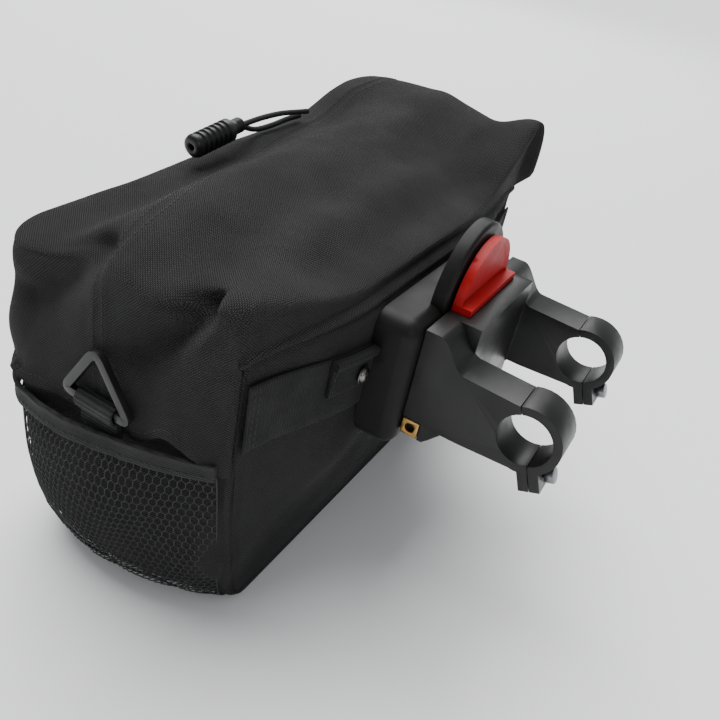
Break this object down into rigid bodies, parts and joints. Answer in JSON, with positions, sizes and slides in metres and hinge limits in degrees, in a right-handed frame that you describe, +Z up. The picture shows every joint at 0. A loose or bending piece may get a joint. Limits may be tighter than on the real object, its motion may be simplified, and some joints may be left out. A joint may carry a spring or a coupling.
{
  "type": "bicycle handlebar bag",
  "caption": "Boxy soft handlebar bag with a puffed lid, net end pockets and hanging rings, on a quick-release clamp bracket with a push button.",
  "frame": {"origin": "bottom centre of the whole part's box, on the plane that the bag's base rests on", "axes": "+X to the rider's right along the bag's length, +Y forwards away from the rider, +Z up"},
  "size_m": [0.3126, 0.245, 0.1922],
  "materials": {
    "cloth": "coarse black nylon weave with a faint sheen",
    "webbing": "ribbed black nylon webbing",
    "binding": "smooth black elastic binding",
    "net": "black polyester net",
    "cord": "braided black cord",
    "plastic": "moulded black plastic, fine satin grain",
    "red_plastic": "red moulded plastic, satin",
    "brass": "plain dull brass",
    "nickel": "nickel-plated, slightly worn",
    "steel": "zinc-plated screw"
  },
  "bodies": {
    "bag": {"bag_body": "cloth", "lid": "cloth", "housing": "plastic", "mesh_pocket_left": "net", "mesh_pocket_right": "net", "pocket_binding_left": "binding", "pocket_binding_right": "binding", "webbing_tab_left": "webbing", "webbing_tab_right": "webbing", "back_strap_left": "webbing", "back_strap_right": "webbing", "strap_end_left": "webbing", "strap_end_right": "webbing", "rivet_left": "nickel", "rivet_right": "nickel", "cord_lock_body": "plastic", "drawcord_upper": "cord", "drawcord_lower": "cord"},
    "bracket": {"bracket": "plastic", "clamp_cap_left": "plastic", "clamp_cap_right": "plastic", "clamp_screw_left": "steel", "clamp_screw_right": "steel", "square_nut_left": "brass", "square_nut_right": "brass"},
    "release_button": {"release_button": "red_plastic"},
    "ring_left": {"ring_left": "plastic"},
    "ring_right": {"ring_right": "plastic"},
    "cord_lock_plunger": {"cord_lock_plunger": "plastic"}
  },
  "joints": [
    {"name": "bracket_slide", "type": "slide", "parent": "bag", "child": "bracket", "axis": [0, 0, -1], "range_m": [0, 0.055]},
    {"name": "button_press", "type": "slide", "parent": "bracket", "child": "release_button", "axis": [0, 0, -1], "range_m": [0, 0.005], "stiffness_N_per_m": 600, "springref_m": -0.001},
    {"name": "ring_left_swing", "type": "hinge", "parent": "bag", "child": "ring_left", "pos_m": [-0.1499, 0.0491, 0.1065], "axis": [0, -1, 0], "range_deg": [0, 135]},
    {"name": "ring_right_swing", "type": "hinge", "parent": "bag", "child": "ring_right", "pos_m": [0.1499, 0.0491, 0.1065], "axis": [0, 1, 0], "range_deg": [0, 135]},
    {"name": "plunger_press", "type": "slide", "parent": "bag", "child": "cord_lock_plunger", "axis": [-0.9903, 0, -0.1392], "range_m": [0, 0.004], "stiffness_N_per_m": 500, "springref_m": -0.001}
  ]
}
